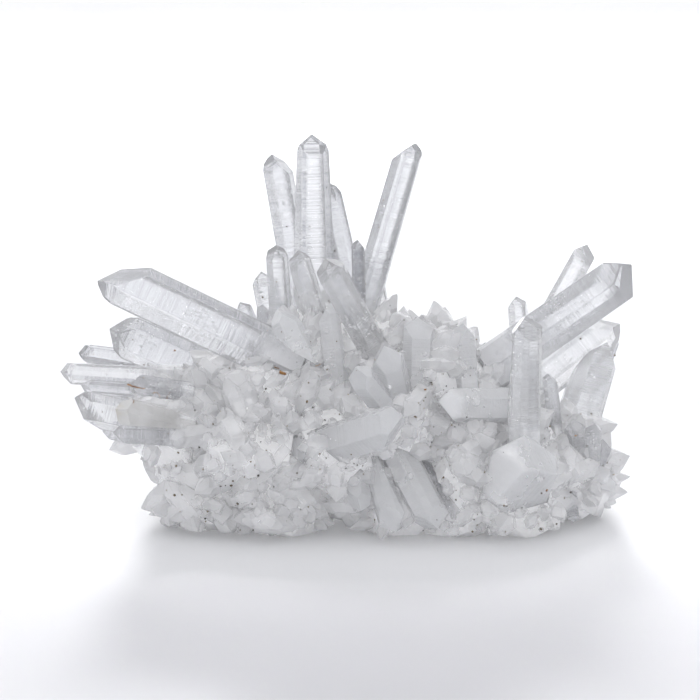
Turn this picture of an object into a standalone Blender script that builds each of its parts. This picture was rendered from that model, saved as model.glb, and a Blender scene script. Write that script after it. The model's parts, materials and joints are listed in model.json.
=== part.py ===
"""Quartz crystal cluster: a milky quartz matrix with clear quartz crystals growing out of it.

Sizes are millimetres until placed() writes metres. +Z is up, the cluster rests on z = 0, and its
front is towards -Y. Each crystal is a six-sided prism cut to its termination by planes, as a real
one is bounded by its crystal faces. Where two crystals meet, the younger stops at a face of the
older, and each crystal sits in its own socket in the matrix.
"""

import math
import random
from typing import NamedTuple

import bmesh
import bpy
from mathutils import Matrix, Vector
from mathutils.bvhtree import BVHTree

MM = 0.001
GAP = 0.3  # clearance between pieces that touch
WELD = 0.01  # corners closer than this are one corner
RHOMB_SLOPE = math.radians(38.2)  # a termination face of quartz, against the long axis
SIDES = 6
PRISM_TURN = math.radians(360 / SIDES)

CLEAR = ("clear_quartz", (0.93, 0.94, 0.95), 0.05)
MILKY = ("milky_quartz", (0.86, 0.87, 0.88), 0.35)
STAINED = ("iron_stained_quartz", (0.84, 0.80, 0.72), 0.3)
ROCK = ("matrix_quartz", (0.80, 0.81, 0.82), 0.55)


class Crystal(NamedTuple):
    """One crystal: its buried foot and its tip, width across the flats, and habit.

    roll turns it about its own axis; at 0 a prism face looks to the front. flat squeezes it from
    front to back. taper is the width at the shoulder over the width at the foot. lead names the
    termination face, 0 to 5 from the front anticlockwise, that outgrew the others by drop widths.
    """

    name: str
    foot: tuple
    tip: tuple
    width: float
    roll: float = 0.0
    flat: float = 1.0
    taper: float = 0.92
    lead: int = 0
    drop: float = 0.12
    finish: tuple = CLEAR


# Older crystals come first: a later one stops where it meets an earlier one.
CRYSTALS = (
    # the tall spires at the back
    Crystal("rear_spire_centre", (-9.4, 8, 42), (-9.8, 10, 98), 12, 8, 0.95, 0.68, 0, 0.1),
    Crystal("rear_spire_right", (1, 4, 44), (16.2, 7, 96.8), 7.9, 20, 1, 0.95, 4, 0.3),
    Crystal("rear_spire_left", (-12, 15, 44), (-20, 18, 92), 7.6, 15, 1, 1, 1, 0.2),
    Crystal("rear_blade", (3, 17, 44), (-6, 20, 84.6), 6.6, 25, 0.8, 0.9, 2, 0.3),
    # the big crystals at each side
    Crystal("left_main", (-12.8, -7, 39.6), (-64.2, -12.3, 66.2), 12, 22, 1, 1, 1, 0.5),
    Crystal("left_second", (-33, 4, 33), (-63.6, 1, 48.2), 11, 10, 1, 0.95, 3, 0.2),
    Crystal("right_main", (36, 3, 36), (75.4, 4, 64), 13.2, 16, 1, 0.95, 2, 0.35),
    Crystal("right_second", (45, 8, 28.5), (71.4, 10, 49.2), 10.8, 40, 1, 0.95, 4, 0.3),
    Crystal("right_rear", (48, 16, 38), (64.2, 20, 67.4), 6.9, 20, 1, 0.95, 2, 0.3),
    Crystal("right_front_prism", (43.6, -20, 20), (44, -21, 56), 9.2, 24, 1, 0.9, 0, 0.1),
    Crystal("right_lower", (57.6, 4, 15), (67.6, 8, 47), 13.8, 30, 0.7, 0.85, 1, 0.2),
    # the short crystals on the crown
    Crystal("crown_front_prism", (8.4, -8, 40), (-6.8, -12.5, 69), 8.2, 28, 1, 0.95, 3, 0.15),
    Crystal("crown_left_prism", (-6.5, -3, 45), (-14, -5, 70), 6.2, 20, 1, 0.95, 5, 0.3),
    Crystal("crown_outer_prism", (-17.6, 4, 44), (-19, 2, 70), 5.8, 12, 1, 0.95, 3, 0.1),
    Crystal("crown_low_prism", (-19.6, 10, 43), (-23, 8, 62.2), 6, 5, 1, 1, 2, 0.15),
    Crystal("crown_needle", (2.6, -3, 46), (2, -1.5, 71.6), 4, 30, 1, 0.95, 1, 0.05),
    Crystal("crown_right_prism", (9.5, 9, 44), (5.6, 8, 65.6), 5, 18, 1, 0.9, 5, 0.35),
    Crystal("crown_shoulder", (-10, -15, 38), (-18, -10, 56), 7.4, 14, 1, 0.9, 1, 0.2, MILKY),
    Crystal("crown_middle", (-3, -14, 36), (-6, -8, 57), 6.4, 33, 1, 0.9, 4, 0.3, MILKY),
    Crystal("left_back_spike", (-22, 14, 37), (-29, 14, 53.2), 4.6, 10, 1, 0.95, 2, 0.3),
    Crystal("crown_left_point", (-22.4, 5, 44), (-22.8, 5, 53.6), 3.4, 20, 1, 0.95, 1, 0.1),
    # the low crystals pointing left
    Crystal("left_low_front", (-43, -6, 36.5), (-74.2, -10, 38.8), 6.4, 12, 1, 0.9, 3, 0.1),
    Crystal("left_low_rear", (-42, 5, 36.5), (-71.8, 6, 40.6), 6, 25, 1, 0.85, 2, 0.15),
    Crystal("left_low_middle", (-44, -8.5, 32.5), (-68.8, -12, 35.6), 5, 18, 1, 0.95, 5, 0.1),
    Crystal("left_low_point", (-44, -13, 25), (-71.6, -18, 32.4), 9, 6, 1, 0.95, 4, 0.5),
    Crystal("left_low_stub", (-44, -6, 21), (-64, -12, 24.4), 5.8, 14, 1, 0.9, 2, 0.2),
    Crystal("left_foot", (-42, -21, 24.5), (-59, -27, 27), 4.8, 22, 1, 0.95, 4, 0.1),
    Crystal("left_stained", (-40, -18, 26), (-58.5, -27, 33), 7.6, 26, 1, 0.9, 3, 0.1, STAINED),
    Crystal("left_clear_knob", (-40, -14, 34), (-55.5, -20, 38), 5.4, 10, 1, 0.95, 0, 0.3),
    # the fringe on the right
    Crystal("right_lower_edge", (62, 12, 20), (70.8, 15, 44), 5.2, 12, 0.8, 0.9, 5, 0.3),
    Crystal("right_rear_small", (46, 11, 32), (44.4, 15, 54), 5.2, 14, 1, 0.95, 2, 0.1),
    Crystal("right_tiny", (53.5, -7, 20), (51.2, -5, 37.4), 4.2, 20, 1, 0.95, 1, 0.1),
    Crystal("right_step_inner", (58.6, -10, 14), (57.4, -10, 27), 5, 8, 1, 1, 0, 0.4),
    Crystal("right_step_outer", (62, -12, 13), (62, -12, 27), 5, 16, 1, 1, 3, 0.5),
    Crystal("right_corner", (61.4, -13, 10), (65.4, -14, 22.8), 4.8, 20, 1, 1, 2, 0.4),
    Crystal("right_end_block", (54, -6, 15), (67.4, -14.5, 4.6), 12, 18, 1, 0.95, 1, 0.5, MILKY),
    # the milky crystals of the front
    Crystal("right_lying", (42, -12, 30.5), (20.4, -25, 33.6), 9.4, 8, 1, 0.95, 4, 0.3, MILKY),
    Crystal("right_milky_block", (40, -12, 12.6), (43.6, -40, 18.4), 21, 22, 1, 0.95, 3, 0.25, MILKY),
    Crystal("centre_column", (17, -16, 28), (17.4, -10, 54), 7.8, 10, 1, 0.95, 0, 0.3, MILKY),
    Crystal("centre_right_column", (29, -10, 34), (28, -7, 52), 8.8, 26, 1, 0.95, 3, 0.3, MILKY),
    Crystal("front_head", (14, -14, 25), (8.4, -26, 49), 8.6, 12, 1, 0.95, 0, 0.1, MILKY),
    Crystal("front_head_left", (15, -18, 24), (0.8, -29, 44), 6.4, 20, 1, 0.95, 5, 0.2, MILKY),
    Crystal("front_diagonal", (-20, -16, 16.5), (14.2, -39, 33.4), 9.8, 26, 1, 0.95, 1, 0.3, MILKY),
    Crystal("front_fan_long", (8.6, -16, 26), (22.2, -35, 4), 9, 12, 1, 0.95, 3, 0.2, MILKY),
    Crystal("front_fan_blade", (4.5, -17, 24), (11.4, -34.5, 3.4), 8, 15, 1, 0.9, 0, 0.2, MILKY),
    Crystal("front_fan_edge", (14, -15, 22), (25, -33, 5), 6, 22, 0.9, 0.95, 2, 0.3),
    Crystal("front_fan_left", (1, -18, 24), (2.2, -32, 8), 6.6, 12, 1, 0.95, 1, 0.2, MILKY),
    Crystal("right_foot_spike", (56, -18, 9), (56.4, -23, 2.4), 3.4, 10, 1, 0.9, 2, 0.1),
    # the crystals of the back
    Crystal("back_long", (2, 22, 22), (6, 46, 36), 8.6, 14, 1, 0.9, 1, 0.2),
    Crystal("back_left_long", (-24, 20, 22), (-40, 42, 36), 8, 24, 1, 0.9, 3, 0.3),
    Crystal("back_right_long", (32, 18, 20), (46, 40, 34), 8.2, 8, 1, 0.9, 5, 0.2),
    Crystal("back_left_short", (-12, 24, 26), (-16, 42, 40), 6, 18, 1, 0.9, 2, 0.15),
    Crystal("back_right_short", (18, 22, 24), (25, 42, 37), 6.4, 28, 1, 0.95, 4, 0.3),
    Crystal("back_low_left", (-34, 18, 12), (-50, 34, 18), 6.4, 10, 1, 0.9, 1, 0.2, MILKY),
    Crystal("back_low_middle", (-8, 26, 12), (-12, 46, 17), 7, 16, 1, 0.9, 3, 0.2, MILKY),
    Crystal("back_low_right", (16, 26, 10), (22, 47, 14), 6, 4, 1, 0.9, 2, 0.25, MILKY),
    Crystal("back_far_right", (46, 16, 12), (62, 32, 19), 6.6, 20, 1, 0.9, 0, 0.2, MILKY),
)


class Lump(NamedTuple):
    """One broken lump of the matrix: its centre and half sizes, and its turn about Z in degrees."""

    centre: tuple
    half: tuple
    turn: float


LUMPS = (
    Lump((0, 2, 20), (32, 22, 26), 10),
    Lump((-6, 2, 40), (17, 13, 14), 30),
    Lump((6, 0, 38), (13, 13, 13), 0),
    Lump((22, 0, 29), (17, 17, 18), -15),
    Lump((45, 0, 12), (19, 18, 17), 12),
    Lump((57, -6, 9), (10, 11, 10), 0),
    Lump((41, -18, 8), (14, 10, 12), 24),
    Lump((38, 6, 24), (12, 12, 12), 20),
    Lump((-28, 0, 20), (25, 20, 20), -8),
    Lump((-20, -4, 32), (16, 14, 12), 15),
    Lump((-35.5, -13, 9), (13, 12, 14), 18),
    Lump((-19, -18, 9), (14, 10, 15), -20),
    Lump((-25, -17, 19), (14, 13, 12), 5),
    Lump((-3, -16, 18), (13, 13, 14), 25),
    Lump((10, -14, 24), (13, 13, 16), 40),
    Lump((13, -15, 7), (12, 13, 13), 10),
    Lump((27, -16, 9), (12, 13, 15), 5),
    Lump((0, 20, 17), (34, 15, 19), -6),
    Lump((34, 14, 12), (21, 14, 16), 15),
    Lump((-31, 15, 12), (19, 15, 16), -25),
    Lump((-45, -10, 25), (13, 12, 11), 35),
)
FRACTURE_CUTS = 22  # flat fracture faces on each lump
FRACTURE_DEPTH = (0.84, 1.0)  # where each one cuts, as a share of the lump's half size

DRUSE_CENTRE = Vector((2, 0, 8))
DRUSE_COUNT = 170
DRUSE_LOWEST = -0.1
DRUSE_LENGTH = (2.5, 6.5)  # what stands out of the matrix
DRUSE_WIDTH = (4.5, 9.5)
DRUSE_BURIED = 4.0
DRUSE_FLOOR = 4.0  # no short crystal grows lower than this


def clear_scene():
    """Removes every object of the open file."""
    for obj in list(bpy.data.objects):
        bpy.data.objects.remove(obj, do_unlink=True)


def new_collection(name, hidden=False):
    """A collection linked to the scene, kept out of the render where it holds helpers."""
    collection = bpy.data.collections.new(name)
    bpy.context.scene.collection.children.link(collection)
    collection.hide_render = hidden
    return collection


def material(finish):
    """The Principled BSDF material of a finish, made once."""
    name, colour, roughness = finish
    found = bpy.data.materials.get(name)
    if found:
        return found
    made = bpy.data.materials.new(name)
    made.use_nodes = True
    shader = made.node_tree.nodes["Principled BSDF"]
    shader.inputs["Base Color"].default_value = (*colour, 1.0)
    shader.inputs["Roughness"].default_value = roughness
    shader.inputs["Metallic"].default_value = 0.0
    shader.inputs["IOR"].default_value = 1.54
    return made


def cut(bm, point, normal):
    """Cuts a convex solid by a plane, keeps the side behind it, and closes the cut with one face."""
    everything = bm.verts[:] + bm.edges[:] + bm.faces[:]
    bmesh.ops.bisect_plane(bm, geom=everything, plane_co=point, plane_no=normal, clear_outer=True)
    open_edges = [edge for edge in bm.edges if edge.is_boundary]
    if open_edges:
        bmesh.ops.edgeloop_fill(bm, edges=open_edges)
    bmesh.ops.remove_doubles(bm, verts=bm.verts[:], dist=WELD)


def spread(number, count, start=0.0, lowest=-1.0):
    """The direction of a point of an even spiral from the zenith down to the lowest height."""
    height = 1 - (1 - lowest) * (number + 0.5) / count
    around = (number + start) * math.pi * (3 - math.sqrt(5))
    level = math.sqrt(1 - height * height)
    return Vector((level * math.cos(around), level * math.sin(around), height))


def crystal_axes(crystal):
    """The crystal's placing matrix in millimetres: Z along its length, X to the front at roll 0."""
    foot = Vector(crystal.foot)
    along = (Vector(crystal.tip) - foot).normalized()
    front = Vector((0, -1, 0))
    if abs(along.dot(front)) > 0.9:
        front = Vector((0, 0, 1))
    front = (front - along * along.dot(front)).normalized()
    side = along.cross(front)
    turned = Matrix((front, side, along)).transposed().to_4x4()
    return Matrix.Translation(foot) @ turned


def crystal_form(crystal, grow=0.0):
    """The crystal as a bmesh along +Z from its foot: the space inside its faces, each moved by grow."""
    rng = random.Random(crystal.name)
    length = (Vector(crystal.tip) - Vector(crystal.foot)).length
    half = crystal.width / 2
    lean = half * (1 - crystal.taper) / length
    bm = bmesh.new()
    bmesh.ops.create_cube(bm, size=2 * (length + crystal.width))
    cut(bm, Vector((0, 0, -grow)), Vector((0, 0, -1)))
    for side in range(SIDES):
        squeeze = crystal.flat if side % 3 == 0 else 1
        around = Vector((math.cos(side * PRISM_TURN), math.sin(side * PRISM_TURN), 0))
        outward = (around + Vector((0, 0, lean))).normalized()
        cut(bm, around * half * squeeze * rng.uniform(0.86, 1.0) + outward * grow, outward)
    for side in range(SIDES):
        major = side % 2 == crystal.lead % 2
        drop = rng.uniform(0.0, 0.05) if major else -rng.uniform(0.08, 0.28)
        if side == crystal.lead:
            drop = crystal.drop
        around = Vector((math.cos(side * PRISM_TURN), math.sin(side * PRISM_TURN), 0))
        outward = around * math.cos(RHOMB_SLOPE) + Vector((0, 0, math.sin(RHOMB_SLOPE)))
        apex = Vector((0, 0, length - drop * crystal.width))
        cut(bm, apex + outward * grow, outward)
    bmesh.ops.rotate(bm, verts=bm.verts, matrix=Matrix.Rotation(math.radians(crystal.roll), 3, "Z"))
    bmesh.ops.recalc_face_normals(bm, faces=bm.faces)
    return bm


def overlap(first, second):
    """Whether two convex bmeshes in one frame share any space."""
    tree, other = BVHTree.FromBMesh(first), BVHTree.FromBMesh(second)
    return bool(tree.overlap(other))


def meeting_face(older, younger, tip, middle):
    """The face of the older crystal that leaves most of the younger one standing outside it."""
    best = None
    for face in older.faces:
        point = face.calc_center_median()
        clearance = (tip - point).dot(face.normal) + (middle - point).dot(face.normal)
        if best is None or clearance > best[0]:
            best = (clearance, point, face.normal.copy())
    return best[1:]


def grown_crystals():
    """Every crystal's bmesh in the cluster's frame, each stopped at the older ones that it meets.

    Returns the crystals' solids and their socket cutters, both by name.
    """
    solids, cutters = {}, {}
    for crystal in CRYSTALS:
        axes = crystal_axes(crystal)
        solid, cutter = crystal_form(crystal), crystal_form(crystal, GAP)
        for bm in (solid, cutter):
            bmesh.ops.transform(bm, matrix=axes, verts=bm.verts)
            bm.normal_update()
        cut(solid, Vector((0, 0, 2 * GAP)), Vector((0, 0, -1)))
        cut(cutter, Vector((0, 0, GAP)), Vector((0, 0, -1)))
        tip = Vector(crystal.tip)
        middle = (tip + Vector(crystal.foot)) / 2
        for older in solids.values():
            if not overlap(older, cutter):
                continue
            point, normal = meeting_face(older, solid, tip, middle)
            cut(solid, point + normal * GAP, -normal)
            cut(cutter, point, -normal)
            for bm in (solid, cutter):
                bmesh.ops.recalc_face_normals(bm, faces=bm.faces)
        solids[crystal.name], cutters[crystal.name] = solid, cutter
    return solids, cutters


def placed(name, bm, collection, frame=None):
    """A bmesh in the cluster's frame as an object in metres, with its origin at the frame's."""
    frame = frame or Matrix.Identity(4)
    bmesh.ops.transform(bm, matrix=Matrix.Scale(MM, 4) @ frame.inverted(), verts=bm.verts)
    mesh = bpy.data.meshes.new(name)
    bm.to_mesh(mesh)
    bm.free()
    obj = bpy.data.objects.new(name, mesh)
    collection.objects.link(obj)
    turned = frame.to_3x3().to_4x4()
    obj.matrix_world = Matrix.Translation(frame.translation * MM) @ turned
    return obj


def lump_form(lump, seed):
    """A broken lump: a block cut all round by flat fracture faces."""
    rng = random.Random(seed)
    bm = bmesh.new()
    bmesh.ops.create_cube(bm, size=2)
    for number in range(FRACTURE_CUTS):
        outward = spread(number, FRACTURE_CUTS, rng.uniform(0, 1))
        cut(bm, outward * rng.uniform(*FRACTURE_DEPTH), outward)
    sizes = Matrix.Diagonal((*lump.half, 1))
    turn = Matrix.Rotation(math.radians(lump.turn), 4, "Z")
    bmesh.ops.transform(bm, matrix=Matrix.Translation(lump.centre) @ turn @ sizes, verts=bm.verts)
    bmesh.ops.recalc_face_normals(bm, faces=bm.faces)
    return bm


def modified(obj, steps):
    """The object's mesh after Boolean steps, each an operation and a collection of operands."""
    for operation, operands in steps:
        modifier = obj.modifiers.new(operation.lower(), "BOOLEAN")
        modifier.operation = operation
        modifier.operand_type = "COLLECTION"
        modifier.collection = operands
    bpy.context.view_layer.update()
    graph = bpy.context.evaluated_depsgraph_get()
    return bpy.data.meshes.new_from_object(obj.evaluated_get(graph))


def largest_piece(bm):
    """Deletes the crumbs that the sockets cut off, leaving the piece with the most faces."""
    left, pieces = set(bm.faces), []
    while left:
        piece, edge = set(), [left.pop()]
        while edge:
            face = edge.pop()
            piece.add(face)
            near = {f for e in face.edges for f in e.link_faces} & left
            left -= near
            edge.extend(near)
        pieces.append(piece)
    keep = max(pieces, key=len)
    bmesh.ops.delete(bm, geom=[f for f in bm.faces if f not in keep], context="FACES")


def druse(surface, crystals, collection):
    """Short crystals all over the upper matrix, spread evenly, wherever no named crystal stands."""
    rng = random.Random("druse")
    for number in range(DRUSE_COUNT):
        outward = spread(number, DRUSE_COUNT, lowest=DRUSE_LOWEST)
        start = DRUSE_CENTRE + outward * 200
        spot, normal, _, _ = surface.ray_cast(start * MM, -outward)
        if spot is None or spot.z < DRUSE_FLOOR * MM:
            continue
        jitter = Vector([rng.gauss(0, 0.35) for _ in range(3)])
        along = (normal + outward + jitter).normalized()
        spot = spot / MM
        stub = Crystal(
            f"druse_{number}",
            tuple(spot - along * DRUSE_BURIED),
            tuple(spot + along * rng.uniform(*DRUSE_LENGTH)),
            rng.uniform(*DRUSE_WIDTH),
            roll=rng.uniform(0, 60),
            lead=rng.randrange(SIDES),
            drop=rng.uniform(0.0, 0.35),
        )
        bm = crystal_form(stub)
        bmesh.ops.transform(bm, matrix=crystal_axes(stub), verts=bm.verts)
        if any(overlap(bm, crystal) for crystal in crystals):
            bm.free()
        else:
            placed(stub.name, bm, collection)


def build_matrix(parts, cutters):
    """The matrix: lumps joined, grown over with short crystals, socketed and cut level below."""
    lumps = new_collection("lumps", hidden=True)
    stubs = new_collection("druse", hidden=True)
    sockets = new_collection("sockets", hidden=True)
    first = placed("matrix_core", lump_form(LUMPS[0], 0), stubs)
    for number, lump in enumerate(LUMPS[1:], 1):
        placed(f"lump_{number}", lump_form(lump, number), lumps)
    rough = modified(first, [("UNION", lumps)])
    surface = bmesh.new()
    surface.from_mesh(rough)
    tree = BVHTree.FromBMesh(surface)
    surface.free()
    bpy.data.objects.remove(first)
    druse(tree, cutters.values(), stubs)
    for name, bm in cutters.items():
        placed(f"socket_{name}", bm, sockets)
    below = bmesh.new()
    bmesh.ops.create_cube(below, size=400)
    bmesh.ops.translate(below, verts=below.verts, vec=(0, 0, -200))
    placed("floor_cut", below, sockets)
    matrix = bpy.data.objects.new("matrix", rough)
    parts.objects.link(matrix)
    finished = modified(matrix, [("UNION", stubs), ("DIFFERENCE", sockets)])
    matrix.modifiers.clear()
    bm = bmesh.new()
    bm.from_mesh(finished)
    bmesh.ops.triangulate(bm, faces=bm.faces)
    bmesh.ops.remove_doubles(bm, verts=bm.verts, dist=WELD * MM)
    bmesh.ops.dissolve_degenerate(bm, edges=bm.edges, dist=WELD * MM)
    largest_piece(bm)
    bm.to_mesh(rough)
    bm.free()
    for helper in (*lumps.objects, *stubs.objects, *sockets.objects):
        bpy.data.objects.remove(helper)
    matrix.data.materials.append(material(ROCK))
    return matrix


def main():
    """Builds the cluster under one empty."""
    clear_scene()
    parts = new_collection("quartz_crystal_cluster")
    cluster = bpy.data.objects.new("cluster", None)
    parts.objects.link(cluster)
    solids, cutters = grown_crystals()
    matrix = build_matrix(parts, cutters)
    matrix.parent = cluster
    for crystal in CRYSTALS:
        obj = placed(crystal.name, solids[crystal.name], parts, crystal_axes(crystal))
        obj.data.materials.append(material(crystal.finish))
        obj.parent = cluster


main()
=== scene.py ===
"""Looks of a quartz crystal cluster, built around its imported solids.

Lengths are metres in the cluster's own frame: +Z up, the front towards -Y, the base on z = 0.
"""

import json
import logging
import math
import random
from dataclasses import dataclass, field
from enum import Enum
from typing import ClassVar, NamedTuple

import bmesh
import bpy
from mathutils import Euler, Matrix, Vector, noise
from mathutils.bvhtree import BVHTree


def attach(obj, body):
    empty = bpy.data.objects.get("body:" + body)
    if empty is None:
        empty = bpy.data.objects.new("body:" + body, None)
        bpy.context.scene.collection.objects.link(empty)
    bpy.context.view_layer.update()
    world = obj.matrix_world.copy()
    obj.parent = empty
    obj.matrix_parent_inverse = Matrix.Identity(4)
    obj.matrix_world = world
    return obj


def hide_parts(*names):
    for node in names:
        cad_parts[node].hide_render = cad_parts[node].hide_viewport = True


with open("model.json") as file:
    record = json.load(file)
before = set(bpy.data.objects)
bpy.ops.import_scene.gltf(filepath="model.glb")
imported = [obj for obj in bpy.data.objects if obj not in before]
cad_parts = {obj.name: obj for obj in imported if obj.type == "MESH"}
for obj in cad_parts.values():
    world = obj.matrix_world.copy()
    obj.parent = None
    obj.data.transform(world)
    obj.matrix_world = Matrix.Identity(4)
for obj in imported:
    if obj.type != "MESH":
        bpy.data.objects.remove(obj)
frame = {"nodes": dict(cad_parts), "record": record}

LOG = logging.getLogger("quartz")
MM = 0.001
QUARTZ_IOR = 1.544
CLUSTER_HEART = Vector((0.0, 0.0, 5 * MM))
# Cutting can leave a solid's faces in any order, so they are sorted along this direction.
SORT_WAY = Vector((1.0, 1.7, 2.3))
MERGE_WITHIN = 1e-6
FLAT_WITHIN = math.radians(0.6)
ROOT_BELOW = 0.03
ON_PLANE = 1e-7
FULL_TURN = 6.3
COOL_WHITE = Vector((0.985, 0.99, 1.02))
Colour = tuple[float, float, float]


class Clarity(Enum):
    """How clear a crystal is, by the record's material slot it takes its finish from."""

    CLEAR = "clear_quartz"
    MILKY = "milky_quartz"
    STAINED = "iron_stained_quartz"
    ROCK = "matrix_quartz"


# ---------------------------------------------------------------- shader helpers


class NodeTree:
    """A thin writer for node trees: it adds nodes, sets their values and links them in one call."""

    COLOUR_INPUTS = (0, 6, 7)
    COLOUR_OUTPUT = 2

    def __init__(self, tree: bpy.types.NodeTree) -> None:
        """Keeps the tree to write in.

        Args:
            tree: a material's, a world's or a group's node tree.
        """
        self.tree = tree

    def add(self, kind: str, inputs: dict | None = None, **settings: object) -> bpy.types.Node:
        """Adds a node.

        Args:
            kind: the node's class name, without its ShaderNode prefix.
            inputs: input name or number to a value, or to a socket to link from.
            settings: attributes of the node, such as operation.

        Returns:
            The new node.
        """
        node = self.tree.nodes.new("ShaderNode" + kind)
        for name, value in settings.items():
            setattr(node, name, value)
        for key, value in (inputs or {}).items():
            self.feed(node.inputs[key], value)
        return node

    def feed(self, socket: bpy.types.NodeSocket, value: object) -> None:
        """Links a socket, or sets its value.

        Args:
            socket: the input to feed.
            value: a socket to link from, or a plain value.
        """
        if isinstance(value, bpy.types.NodeSocket):
            self.tree.links.new(value, socket)
        elif socket.type == "RGBA" and len(value) == 3:
            socket.default_value = (*value, 1.0)
        else:
            socket.default_value = value

    def math(self, operation: str, *values: object, clamp: bool = False) -> bpy.types.NodeSocket:
        """Adds a Math node and returns its result.

        Args:
            operation: the Math node's operation.
            values: its inputs in order.
            clamp: whether the result is held between 0 and 1.

        Returns:
            The node's output socket.
        """
        node = self.add("Math", dict(enumerate(values)), operation=operation, use_clamp=clamp)
        return node.outputs[0]

    def ramp(
        self, value: object, low: object, high: object, start: object = 0.0, end: object = 1.0
    ) -> bpy.types.NodeSocket:
        """Maps one range smoothly onto another.

        Args:
            value: what to map.
            low: where its range starts.
            high: where its range ends.
            start: what low becomes.
            end: what high becomes.

        Returns:
            The node's output socket.
        """
        spread = {"Value": value, "From Min": low, "From Max": high, "To Min": start, "To Max": end}
        return self.add("MapRange", spread, interpolation_type="SMOOTHSTEP").outputs[0]

    def mix(self, factor: object, first: object, second: object) -> bpy.types.NodeSocket:
        """Mixes two colours.

        Args:
            factor: the second colour's share.
            first: the first colour.
            second: the second colour.

        Returns:
            The node's output socket.
        """
        node = self.add("Mix", data_type="RGBA")
        for number, value in zip(self.COLOUR_INPUTS, (factor, first, second)):
            self.feed(node.inputs[number], value)
        return node.outputs[self.COLOUR_OUTPUT]

    def texture(self, kind: str, place: object, scale: object, **values: float) -> bpy.types.Node:
        """Adds a texture that fills space.

        Args:
            kind: the texture's name, such as Noise.
            place: where it is read.
            scale: its repeats to the metre.
            values: further inputs, such as Detail.

        Returns:
            The new node.
        """
        return self.add("Tex" + kind, {"Vector": place, "Scale": scale, **values})

    def lines(self, place: object, scale: float, **values: float) -> bpy.types.NodeSocket:
        """Adds noise along one way only, which looks like lines across it.

        Args:
            place: where it is read, as one number.
            scale: its repeats to the metre.
            values: further inputs, such as Detail.

        Returns:
            The node's output socket.
        """
        return self.add("TexNoise", {"W": place, "Scale": scale, **values}, noise_dimensions="1D").outputs[0]

    def place(self, group: bpy.types.NodeTree, **inputs: object) -> bpy.types.Node:
        """Places a shader group and feeds its inputs.

        Args:
            group: the group's tree.
            inputs: input name, with _ for a space, to a value or a socket.

        Returns:
            The group's node.
        """
        node = self.tree.nodes.new("ShaderNodeGroup")
        node.node_tree = group
        for name, value in inputs.items():
            self.feed(node.inputs[name.replace("_", " ")], value)
        return node


class ShaderGroup(NodeTree):
    """A shader node group with named inputs and outputs, made once and placed in many materials."""

    def __init__(self, name: str, inputs: dict[str, object], outputs: tuple[str, ...]) -> None:
        """Makes the group and its sockets.

        Args:
            name: the group's name.
            inputs: input name to its starting value; a value of None makes a vector input.
            outputs: names of the outputs, all plain numbers.
        """
        super().__init__(bpy.data.node_groups.new(name, "ShaderNodeTree"))
        for label, value in inputs.items():
            kind = "NodeSocketVector" if value is None else "NodeSocketFloat"
            socket = self.tree.interface.new_socket(label, in_out="INPUT", socket_type=kind)
            if value is not None:
                socket.default_value = value
        for label in outputs:
            self.tree.interface.new_socket(label, in_out="OUTPUT", socket_type="NodeSocketFloat")
        self.source = self.tree.nodes.new("NodeGroupInput").outputs
        self.sink = self.tree.nodes.new("NodeGroupOutput").inputs


class Surface(NodeTree):
    """A new material, with its main shader and its Object coordinates at hand."""

    def __init__(self, name: str) -> None:
        """Makes the material.

        Args:
            name: its name.
        """
        self.made = bpy.data.materials.new(name)
        self.made.use_nodes = True
        super().__init__(self.made.node_tree)
        self.shader = self.tree.nodes["Principled BSDF"]
        self.spot = self.add("TexCoord").outputs["Object"]

    def mark(self, name: str) -> bpy.types.NodeSocket:
        """Reads an attribute that the piece's mesh carries, as one number."""
        return self.add("Attribute", attribute_name=name).outputs["Fac"]

    def dress(self, **inputs: object) -> None:
        """Feeds the main shader.

        Args:
            inputs: input name, with _ for a space, to a value or a socket.
        """
        for name, value in inputs.items():
            self.feed(self.shader.inputs[name.replace("_", " ")], value)

    def bump(self, height: bpy.types.NodeSocket, relief: float, depth: float) -> bpy.types.NodeSocket:
        """Roughens the surface by a height.

        Args:
            height: the height to follow.
            relief: how strongly it shows.
            depth: how deep one unit of it is.

        Returns:
            The normal for the main shader.
        """
        return self.add("Bump", {"Height": height, "Strength": relief, "Distance": depth}).outputs[0]

    def let_light_by(self, share: float, rays: tuple[str, ...]) -> None:
        """Lets some kinds of light cross the body without bending, as thick pale quartz does.

        Args:
            share: how much of the light gets by at each surface.
            rays: the Light Path outputs that this is for.
        """
        ray = self.add("LightPath").outputs
        thin = self.add("BsdfTransparent", {"Color": (share, share, share)}).outputs[0]
        seen = self.shader.outputs[0]
        for kind in rays:
            seen = self.add("MixShader", {0: ray[kind], 1: seen, 2: thin}).outputs[0]
        self.feed(self.tree.nodes["Material Output"].inputs["Surface"], seen)


# Patterns are given by their repeats to the metre.
FINE_LINES = 1400.0
BROAD_LINES = 260.0
ETCHING = 320.0
FACET_APART = 31.0
# Prism faces whose random number is above this get painted dark bands, which stand in for dark reflections.
PAINTED_BAND_ABOVE = 0.62
MILK_WANDER = 1.5
MILK_PATCH = 160.0
GRAIN_CELL = 900.0
GRAIN_NOISE = 420.0
STAIN_PATCH = 75.0
STAIN_EDGE = 0.78
STAIN_FADE = 0.14


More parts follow.
